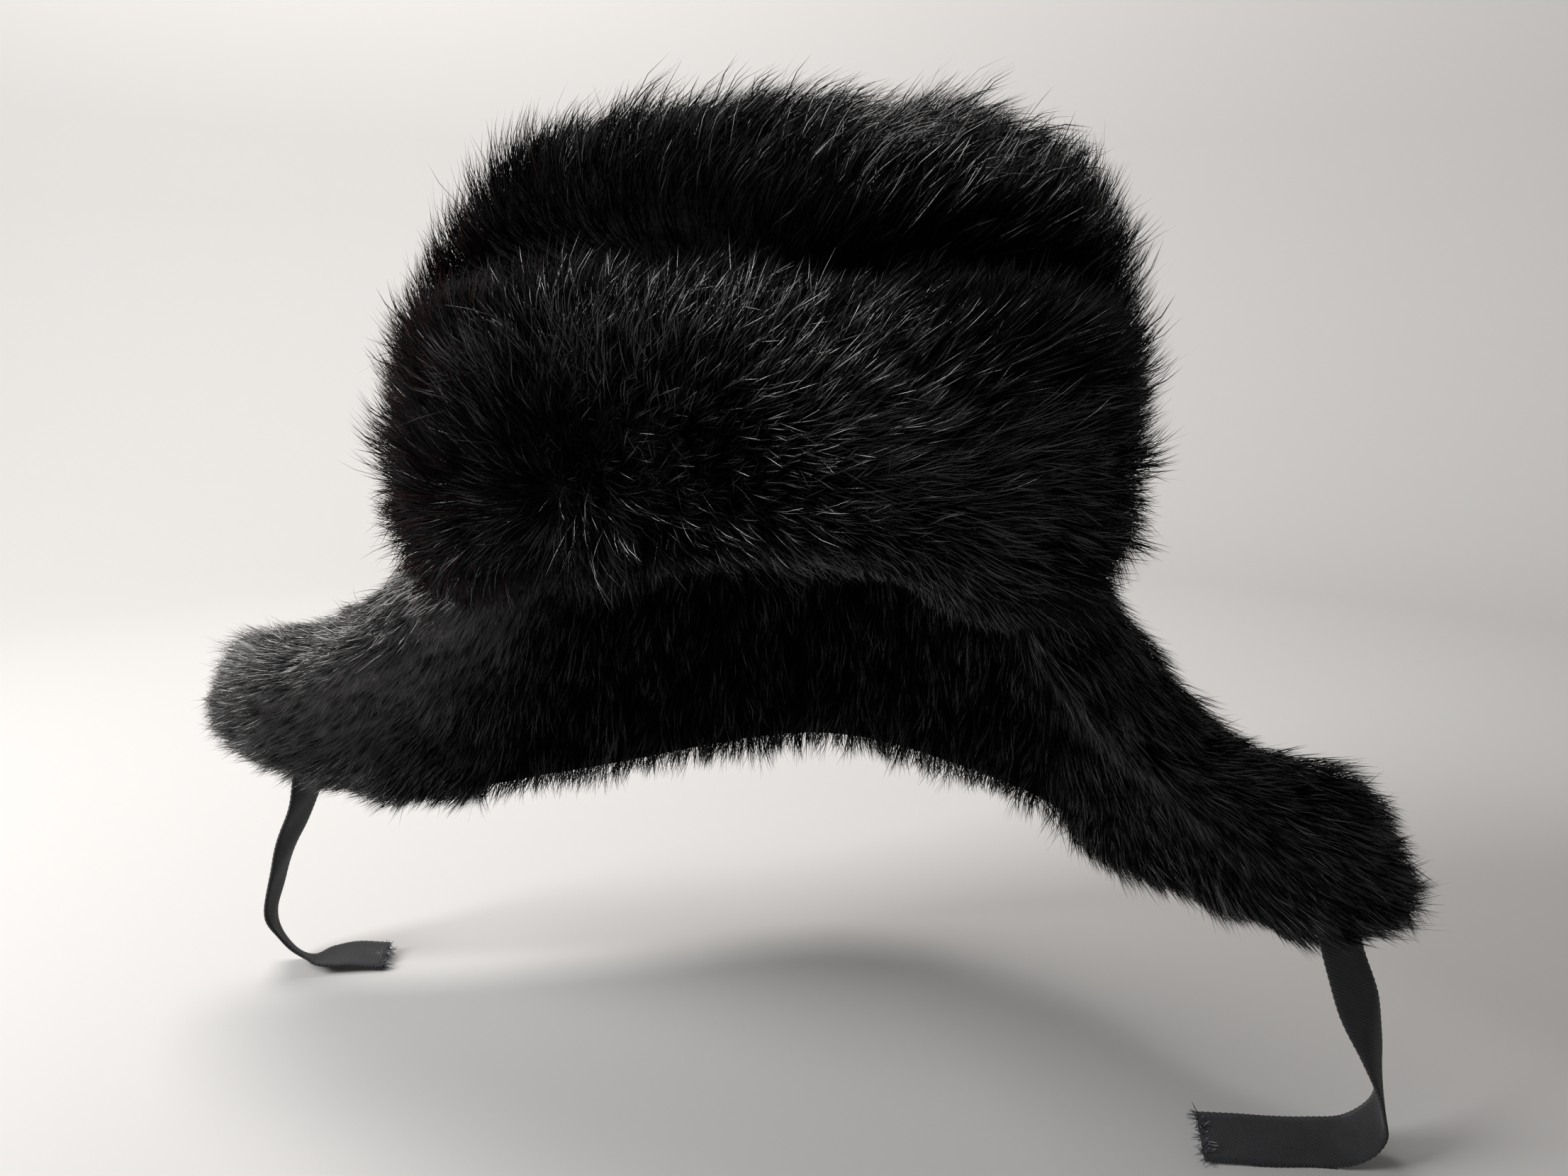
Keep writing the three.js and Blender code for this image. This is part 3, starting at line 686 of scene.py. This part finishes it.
frontFur = {
    "steps": (46, 22), "sideEdge": 0.05, "topEdge": 0.02, "lowEdge": 0.93, "gap": 0.3, "backDensity": 0.05,
    "depth": 12, "foldDepth": 7, "foldBand": (0.66, 0.95), "fullerLeft": (10, 0.72, 0.95),
    "sideRounding": 0.16, "topRounding": 0.25,
    "guard": {"count": 31000, "length": 18, "width": 0.29, "angles": (44, 86), "perTuft": 9, "tuftLean": 13,
              "drift": 9, "uneven": 0.15, "hairLean": 10, "tuftLift": 9, "tuftGrowth": 0.45, "pull": 0.55,
              "strays": 0.025, "droop": 0.02, "roll": 40, "paintedGlint": 0.03, "rings": (0, 0.34, 0.7, 1)},
    "down": {"count": 26000, "length": 14, "width": 0.3, "angles": (38, 78), "perTuft": 8, "tuftLean": 16,
             "drift": 9, "uneven": 0.1, "hairLean": 14, "tuftLift": 9, "tuftGrowth": 0.4, "pull": 0.5,
             "strays": 0.0, "droop": 0.02, "roll": 50, "rings": (0, 0.5, 1)},
    # The hair lies away from a short parting, between two places on the flap, and is biased by some
    # millimetres. The scale is in millimetres too, across and down the flap.
    "parting": ((0.41, 0.50), (0.70, 0.72)), "scale": (240, 86), "bias": (8, -6),
    # It sweeps on to the left there, and lies upwards rather than outwards at the right.
    "sweep": (28, 0.45, 0.7), "rightFrom": 0.4, "rightBand": (0, 0.2), "rightInward": 0.5,
    "rightUp": 14, "upperBand": (0.5, 0.8),
    # Along the parting the hair is short, dull and messy, and stands off by some degrees.
    "hollow": {"radius": 16, "shorter": 0.25, "lift": 8, "duller": 0.4, "mess": 0.9},
    # The top edge is dull, in a band that widens towards both sides.
    "dullTop": {"middle": 0.52, "aside": (0.13, 0.08, 0.34), "band": (0.9, 0.03, 0.2), "least": 0.1},
    "shorterFold": (0.6, 0.66, 0.9), "topLength": 0.75, "belowTop": (0.25, -0.02, 0.2),
    "mess": 1.2, "neaterLeft": (0.5, 0.5, 0.7), "brown": (0.7, 0, 0.42),
    # Places on the flap, across and down, and there the degrees that the hair stands off and the share of it
    # that is glossy.
    "pelt": [
        (0.03, 0.20, 18, 0.03), (0.03, 0.75, 18, 0.02), (0.18, 0.15, 16, 0.05), (0.18, 0.48, 16, 0.03),
        (0.18, 0.80, 18, 0.03), (0.35, 0.02, 12, 0.10), (0.37, 0.25, 4, 0.58), (0.37, 0.50, 12, 0.12),
        (0.35, 0.75, 20, 0.05), (0.50, 0.02, 10, 0.10), (0.50, 0.20, 2, 0.55), (0.53, 0.48, 8, 0.50),
        (0.50, 0.75, 16, 0.30), (0.64, 0.00, 8, 0.15), (0.64, 0.22, 0, 0.55), (0.66, 0.50, 0, 0.95),
        (0.64, 0.78, 6, 0.75), (0.80, 0.00, 8, 0.10), (0.80, 0.22, 0, 0.32), (0.80, 0.52, 0, 0.60),
        (0.78, 0.80, 8, 0.45), (0.97, 0.20, 14, 0.05), (0.97, 0.75, 14, 0.05),
    ],
}


def frontDepth(u, v):
    sideEdge = np.minimum(u + frontFur["sideEdge"], 1 + frontFur["sideEdge"] - u) / frontFur["sideRounding"]
    topEdge = (v + frontFur["topEdge"]) / frontFur["topRounding"]
    towardsFold = smoothStep(v, *frontFur["foldBand"])
    full = frontFur["depth"] + (frontFur["foldDepth"] - frontFur["depth"]) * towardsFold
    full = full + rising(u, *frontFur["fullerLeft"])
    return roundedDepth(full, np.minimum(sideEdge, topEdge))


def combFront(u, v, along, down):  # the way the hair lies, and how near to the parting it is
    start, end = (np.array(place) * frontFur["scale"] for place in frontFur["parting"])
    away = np.stack([u, v], axis=-1) * frontFur["scale"] - start
    share = np.clip(dot(away, end - start) / dot(end - start, end - start), 0, 1)
    away = away - share * (end - start)
    near = np.exp(-(np.linalg.norm(away, axis=1) / frontFur["hollow"]["radius"]) ** 2)
    onRight = smoothStep(frontFur["rightFrom"] - u, *frontFur["rightBand"])[:, None]
    outward = away[:, :1] * (1 - frontFur["rightInward"] * onRight) + frontFur["bias"][0]
    upward = frontFur["rightUp"] * onRight * falling(v, 1, *frontFur["upperBand"])[:, None]
    comb = along * (outward + rising(u, *frontFur["sweep"])[:, None])
    return comb + down * (away[:, 1:] + frontFur["bias"][1] - upward), near


bm = bmesh.new()
sideEdge, topEdge = frontFur["sideEdge"], frontFur["topEdge"]
u, v, isFront, along, down = wrapSlab(
    bm, frontPlace, (-sideEdge, 1 + sideEdge, frontFur["steps"][0]),
    (-topEdge, frontFur["lowEdge"], frontFur["steps"][1]), frontDepth,
    evenDepth(-frontFlap["thickness"] / 2 - frontFur["gap"]))
comb, near = combFront(u, v, along, down)
lift, sheen = blendAnchors(frontFur["pelt"], u, v)
hollow, dullTop = frontFur["hollow"], frontFur["dullTop"]
aside = rising(np.abs(u - dullTop["middle"]), *dullTop["aside"])
sheen = sheen * (dullTop["least"] + rising(v - aside, *dullTop["band"]))
growth = frontFur["topLength"] + rising(v, *frontFur["belowTop"])
growth = (1 - rising(v, *frontFur["shorterFold"])) * growth
ground = hairGround(
    bm.copy(), comb, length=growth * (1 - hollow["shorter"] * near),
    density=np.where(isFront, 1.0, frontFur["backDensity"]),
    brown=rising(frontFur["rightFrom"] - u, *frontFur["brown"]), lift=lift + hollow["lift"] * near,
    sheen=sheen * (1 - hollow["duller"] * near),
    mess=frontFur["mess"] - rising(u, *frontFur["neaterLeft"]) + hollow["mess"] * near)
dressPelt("front", "front_flap_fur", bm, ground, frontFur, {"guard": 11, "down": 12})
print("front flap furred")


# Crown

crownFur = {
    "steps": (64, 26), "pole": 0.004, "foot": 1.075, "tuckFrom": 0.985, "merge": 0.6,
    "depth": 12, "footDepth": 0.5, "hiddenDepth": 4, "hiddenLength": 0.4, "hiddenBare": 0.97,
    "flapSide": (56, 68), "flapTop": (66, 80),  # where the turned up flap ends, in degrees and millimetres
    "sideFullness": 9, "sideWidth": (50, 88), "sideFoot": (-24, 12), "sideTop": (84, 106),
    "rightFullness": (0.9, 0, 60), "rightTop": (64, 88),
    "shoulderFullness": 7, "shoulderWidth": (30, 62), "shoulderHeight": (78, 98),
    # Up the sides the hair stands off, and on top it lies over to the wearer's left and the back.
    "topBand": (0.35, 0.62), "frontBand": (20, 90), "flow": (0.8, 0.4, 0.3), "flowAll": 0.12,
    "flowFront": 0.7, "turnDown": (1.6, 0.72, 1.05), "liftFront": 34, "liftSide": 10,
    "brown": (0.6, 35, 85), "brownBack": (0.7, -20, 50),
    # The top and its front edge at the wearer's left are glossy, and the deep fur behind the flap is dull.
    "sheen": 0.08, "sheenLeft": (0.26, 60, 95), "sheenTop": (0.12, 0.24, 0.44), "sheenBack": (0.25, -20, 50),
    "edge": (0.34, 5, 35), "edgeHeight": (76, 96), "edgeEnd": (60, 90), "dullRight": (0.8, 10, 60),
    "dullFront": (-20, 40),
    "guard": {"count": 31000, "length": 19.5, "width": 0.32, "angles": (36, 80), "perTuft": 9, "tuftLean": 13,
              "drift": 10, "uneven": 0.15, "hairLean": 11, "tuftLift": 9, "tuftGrowth": 0.5, "pull": 0.6,
              "strays": 0.025, "droop": 0.04, "roll": 40, "paintedGlint": 0.03, "rings": (0, 0.34, 0.7, 1)},
    "down": {"count": 26000, "length": 17, "width": 0.32, "angles": (30, 70), "perTuft": 8, "tuftLean": 14,
             "drift": 7, "uneven": 0.15, "hairLean": 12, "tuftLift": 8, "tuftGrowth": 0.4, "pull": 0.5,
             "strays": 0.0, "droop": 0.04, "roll": 50, "rings": (0, 0.5, 1)},
}


def behindFlap(x, y, z):  # 1 where the turned up flap leaves no room for the crown's own fur
    angle = np.degrees(np.arctan2(x, -y))
    return falling(np.abs(angle), 1, *crownFur["flapSide"]) * falling(z, 1, *crownFur["flapTop"])


def crownDepth(x, z, hidden, tuck):
    width = np.abs(x)
    sides = smoothStep(width, *crownFur["sideWidth"]) * smoothStep(z, *crownFur["sideFoot"])
    sides = sides * falling(z, 1, *crownFur["sideTop"])
    sides = sides * (1 + rising(-x, *crownFur["rightFullness"]) * falling(z, 1, *crownFur["rightTop"]))
    shoulders = smoothStep(width, *crownFur["shoulderWidth"]) * smoothStep(z, *crownFur["shoulderHeight"])
    fullness = crownFur["sideFullness"] * sides + crownFur["shoulderFullness"] * shoulders
    depth = (crownFur["depth"] + fullness) * (1 - hidden) + crownFur["hiddenDepth"] * hidden
    return depth * (1 - tuck) + crownFur["footDepth"] * tuck


def crownSheen(x, y, z, v):
    sheen = crownFur["sheen"] + rising(x, *crownFur["sheenLeft"]) + falling(v, *crownFur["sheenTop"])
    sheen = sheen + rising(y, *crownFur["sheenBack"])
    edge = rising(x, *crownFur["edge"]) * smoothStep(z, *crownFur["edgeHeight"])
    sheen = sheen + edge * falling(x, 1, *crownFur["edgeEnd"])
    dull = rising(-x, *crownFur["dullRight"]) * smoothStep(-y, *crownFur["dullFront"])
    return np.clip(sheen * (1 - dull), 0, 1)


bm = bmesh.new()
bmesh.ops.create_grid(bm, x_segments=crownFur["steps"][0], y_segments=crownFur["steps"][1], size=0.5)
flat = np.array([vert.co[:] for vert in bm.verts]) + (0.5, 0.5, 0)
u, v = flat[:, 0], np.maximum(crownFur["pole"], flat[:, 1] * crownFur["foot"])
point = crownPlace(u, v)
along = unit(crownPlace(u + smallStep, v) - crownPlace(u - smallStep, v))
down = unit(crownPlace(u, v + smallStep) - crownPlace(u, v - smallStep))
x, y, z = point.T
hidden = behindFlap(x, y, z)
tuck = smoothStep(flat[:, 1], crownFur["tuckFrom"], 1.0)  # the lowest row turns in to the padding
moveVerts(bm, point + unit(np.cross(down, along)) * crownDepth(x, z, hidden, tuck)[:, None])
bm.normal_update()
if sum(f.normal.dot(f.calc_center_median()) for f in bm.faces) < 0:
    bmesh.ops.reverse_faces(bm, faces=bm.faces[:])
topShare = falling(v, 1, *crownFur["topBand"])
frontShare = smoothStep(-y, *crownFur["frontBand"]) * (1 - topShare)
comb = -down * ((1 - topShare) * (1 - rising(v, *crownFur["turnDown"])))[:, None]
flowShare = topShare + crownFur["flowAll"] + crownFur["flowFront"] * frontShare
comb = comb + np.array(crownFur["flow"]) * flowShare[:, None]
ground = hairGround(
    bm.copy(), comb, length=np.where(hidden > 0.5, crownFur["hiddenLength"], 1.0),
    density=1 - crownFur["hiddenBare"] * hidden,
    brown=rising(-x, *crownFur["brown"]) * (1 - rising(y, *crownFur["brownBack"])),
    sheen=crownSheen(x, y, z, v),
    lift=crownFur["liftFront"] * frontShare + crownFur["liftSide"] * (1 - topShare) * (1 - frontShare))
bmesh.ops.remove_doubles(bm, verts=bm.verts[:], dist=crownFur["merge"])
dressPelt("crown", "crown_fur", bm, ground, crownFur, {"guard": 21, "down": 22})
print("crown furred")


# Ear and nape flaps, one band of pelt in three parts

bandFur = {
    "outside": 9, "inside": 7, "clear": 2.6, "steps": (30, 20), "rim": 0.02,
    "flapRounding": 0.07, "lowRounding": 0.2, "rimRounding": 0.12, "rimThickness": 0.25,
    "cornerAcross": (0.38, 0.5), "cornerDown": (0.5, 0.95),
    "splay": (0.3, 0.1, 0.3), "rimBand": (0.0, 0.12), "rimLength": (0.6, 0.4), "rimDensity": (0.1, 0.9),
    "insideDensity": 0.75, "sheen": 0.34, "earBand": (0.17, 0.32), "brownFrom": 0.2, "brown": (0.4, 0, 0.15),
    "guard": {"length": 15, "width": 0.32, "angles": (56, 86), "perTuft": 12, "tuftLean": 7, "drift": 7,
              "uneven": 0.12, "hairLean": 6, "tuftLift": 6, "tuftGrowth": 0.4, "pull": 0.6, "strays": 0.02,
              "droop": 0.02, "roll": 40, "paintedGlint": 0.08, "rings": (0, 0.5, 1)},
    "down": {"length": 11, "width": 0.3, "angles": (46, 80), "perTuft": 8, "tuftLean": 12, "drift": 7,
             "uneven": 0.1, "hairLean": 10, "tuftLift": 8, "tuftGrowth": 0.4, "pull": 0.4, "strays": 0.0,
             "droop": 0.02, "roll": 50, "rings": (0, 0.5, 1)},
}
bandParts = [  # edgeU and edgeV are how far the fur stands past the hide, corner how much fuller it is there
    {"name": "rightEar", "node": "right_ear_flap", "us": (0, 0.3395), "edgeU": 0.012, "edgeV": 0.01,
     "corner": (-7, 0, 9), "sheen": 0.9, "guard": 42000, "down": 16000, "seed": 31},
    {"name": "nape", "node": "nape_flap", "us": (0.3405, 0.6595), "edgeU": 0.012, "edgeV": 0.0,
     "corner": (0, 0, 0), "sheen": 0.0, "guard": 26000, "down": 0, "seed": 33},
    {"name": "leftEar", "node": "left_ear_flap", "us": (0.6605, 1), "edgeU": 0.006, "edgeV": 0.05,
     "corner": (5, 0, 13), "sheen": 0.1, "guard": 42000, "down": 16000, "seed": 35},
]


def bandSurface(part):  # fuller at the outer corner of each ear flap
    def place(u, v):
        aside = smoothStep(np.abs(u - 0.5), *bandFur["cornerAcross"])
        fuller = np.array(part["corner"]) * (aside * smoothStep(v, *bandFur["cornerDown"]))[..., None]
        return bandPlace(u, v) + fuller
    return place


def bandDepth(full, part):
    def depth(u, v):
        flapEdge = np.minimum(u, 1 - u) / bandFur["flapRounding"] + part["edgeU"] / bandFur["flapRounding"]
        lowEdge = (1 + part["edgeV"] - v) / bandFur["lowRounding"]
        topEdge = bandFur["rimThickness"] + (v - bandFur["rim"]) / bandFur["rimRounding"]
        return roundedDepth(full, np.minimum(np.minimum(flapEdge, lowEdge), topEdge)) + bandFur["clear"]
    return depth


for part in bandParts:
    bm = bmesh.new()
    low, high = part["us"]
    us = (low - part["edgeU"] * (low == 0), high + part["edgeU"] * (high == 1), bandFur["steps"][0])
    vs = (bandFur["rim"], 1 + part["edgeV"], bandFur["steps"][1])
    u, v, isFront, along, down = wrapSlab(bm, bandSurface(part), us, vs, bandDepth(bandFur["outside"], part),
                                          bandDepth(bandFur["inside"], part))
    aside = np.abs(u - 0.5)
    rimShare = smoothStep(v, *bandFur["rimBand"])
    leastLength, moreLength = bandFur["rimLength"]
    leastDensity, moreDensity = bandFur["rimDensity"]
    ground = hairGround(
        bm.copy(), down + along * (np.sign(u - 0.5) * rising(aside, *bandFur["splay"]))[:, None],
        length=leastLength + moreLength * rimShare,
        density=(leastDensity + moreDensity * rimShare) * np.where(isFront, 1.0, bandFur["insideDensity"]),
        brown=rising(bandFur["brownFrom"] - u, *bandFur["brown"]),
        sheen=bandFur["sheen"] + rising(aside, part["sheen"], *bandFur["earBand"]))
    hairs = {kind: {**bandFur[kind], "count": part[kind]} for kind in ("guard", "down") if part[kind]}
    dressPelt(part["name"], part["node"] + "_fur", bm, ground, hairs, dict.fromkeys(hairs, part["seed"]))
print("ear and nape flaps furred")


# Hide of the flaps and padded wall of the crown

hideSetup = {"steps": (22, 9), "bandHalf": 2.5, "bandEdges": (0.03, 0.99)}
# Dyed rabbit hide: thin and matte, with a grain of about 1 mm.
hide = grainMaterial("dyedRabbitHide", {"Roughness": 0.85}, {"Scale": 900, "Detail": 5},
                     [(0.3, "#0f0d0c"), (0.7, "#1d1917")], 0.5, 0.0003)
panels = [("frontHide", "front_flap", frontPlace, (0, 1), (0, 1), frontFlap["thickness"] / 2)]
panels += [(part["name"] + "Hide", part["node"], bandPlace, part["us"], hideSetup["bandEdges"],
            hideSetup["bandHalf"]) for part in bandParts]
for name, node, place, us, vs, half in panels:
    bm = bmesh.new()
    wrapSlab(bm, place, (*us, hideSetup["steps"][0]), (*vs, hideSetup["steps"][1]), evenDepth(half),
             evenDepth(half))
    piece = peltPiece(name, bm, hide)
    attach(piece, "root")
    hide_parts(node)

# The padded wall is an arched profile, spun round and pressed to the oval of the crown.
wallSetup = {"across": 14, "round": 44, "foot": -3, "outside": -0.4, "merge": 0.05, "fill": 0.8}
# Woven lining: smooth and nearly black with a slight sheen, and a grain of about 1.4 mm.
lining = grainMaterial("wovenLining", {"Roughness": 0.7, "Sheen Weight": 0.2}, {"Scale": 700, "Detail": 5},
                       [(0.3, "#0d0e10"), (0.7, "#15161a")], 0.5, 0.0003)
profile = []
for grow, order in ((wallSetup["outside"], 1), (-crown["wall"], -1)):
    rise = np.interp(np.linspace(0, crownArc, wallSetup["across"])[::order], profileArc, profileRise)
    out = (crown["halfDepth"] + grow) * np.cos(rise) ** crownPower
    up = (crown["height"] + grow) * np.sin(rise) ** crownPower
    layer = [(max(0.0, x), z) for x, z in zip(out, up)]
    foot = [(crown["halfDepth"] + grow, wallSetup["foot"])]
    profile += layer + foot if order == 1 else foot + layer
bm = spinProfile(profile, wallSetup["round"], wallSetup["merge"])
x, y, z = np.array([vert.co[:] for vert in bm.verts]).T
moveVerts(bm, settle(x * crown["halfWidth"] / crown["halfDepth"], y, z, crown["archTop"]))
bmesh.ops.recalc_face_normals(bm, faces=bm.faces[:])
inFixedOrder(bm)
piece = peltPiece("crownPadding", bm, lining)
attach(piece, "root")
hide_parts("crown_wall")
print("hide and padding made")


# Floor, backdrop and light

stageSetup = {
    "floor": -0.2372, "radius": 1.7, "height": 2.4, "curve": 0.6, "curveSteps": 8, "round": 72, "merge": 1e-5,
}
flatRadius = stageSetup["radius"] - stageSetup["curve"]
outline = [(0, 0), (flatRadius, 0)]
for i in range(1, stageSetup["curveSteps"] + 1):
    bend = math.radians(90 * i / stageSetup["curveSteps"])
    outline.append((stageSetup["radius"] - stageSetup["curve"] * (1 - math.sin(bend)),
                    stageSetup["curve"] * (1 - math.cos(bend))))
outline.append((stageSetup["radius"], stageSetup["height"]))
bm = spinProfile([(x, z + stageSetup["floor"]) for x, z in outline], stageSetup["round"], stageSetup["merge"])
bmesh.ops.recalc_face_normals(bm, faces=bm.faces[:])
mesh = bpy.data.meshes.new("studioFloor")
bm.to_mesh(mesh)
bm.free()
mesh.shade_smooth()
# Matte painted board, a light grey.
board, *_ = newMaterial("paintedBoard", {"Roughness": 0.9, "Base Color": colour("#959595")})
newPiece("studioFloor", mesh, board)

lights = [
    {"name": "window", "place": (-1.05, -0.55, 0.75), "aim": (0, 0, 0), "size": 0.62, "energy": 43,
     "tone": "#fffdfb"},
    {"name": "wallWash", "place": (-0.5, 0.35, 1.5), "aim": (-0.8, 1.7, 0.2), "size": 0.9, "energy": 64,
     "tone": "#fffaf6"},
]
for row in lights:
    lamp = bpy.data.lights.new(row["name"], "AREA")
    lamp.size = row["size"]
    lamp.energy = row["energy"]
    lamp.color = colour(row["tone"])[:3]
    holder = bpy.data.objects.new(row["name"], lamp)
    holder.location = row["place"]
    aim = Vector(row["aim"]) - Vector(row["place"])
    holder.rotation_euler = aim.to_track_quat("-Z", "Y").to_euler()
    scene.collection.objects.link(holder)
worldSetup = {"tone": "#e9e6e2", "strength": 0.2}
world = bpy.data.worlds.new("softRoom")
world.use_nodes = True
world.node_tree.nodes["Background"].inputs[0].default_value = colour(worldSetup["tone"])
world.node_tree.nodes["Background"].inputs[1].default_value = worldSetup["strength"]
scene.world = world

print("scene made")
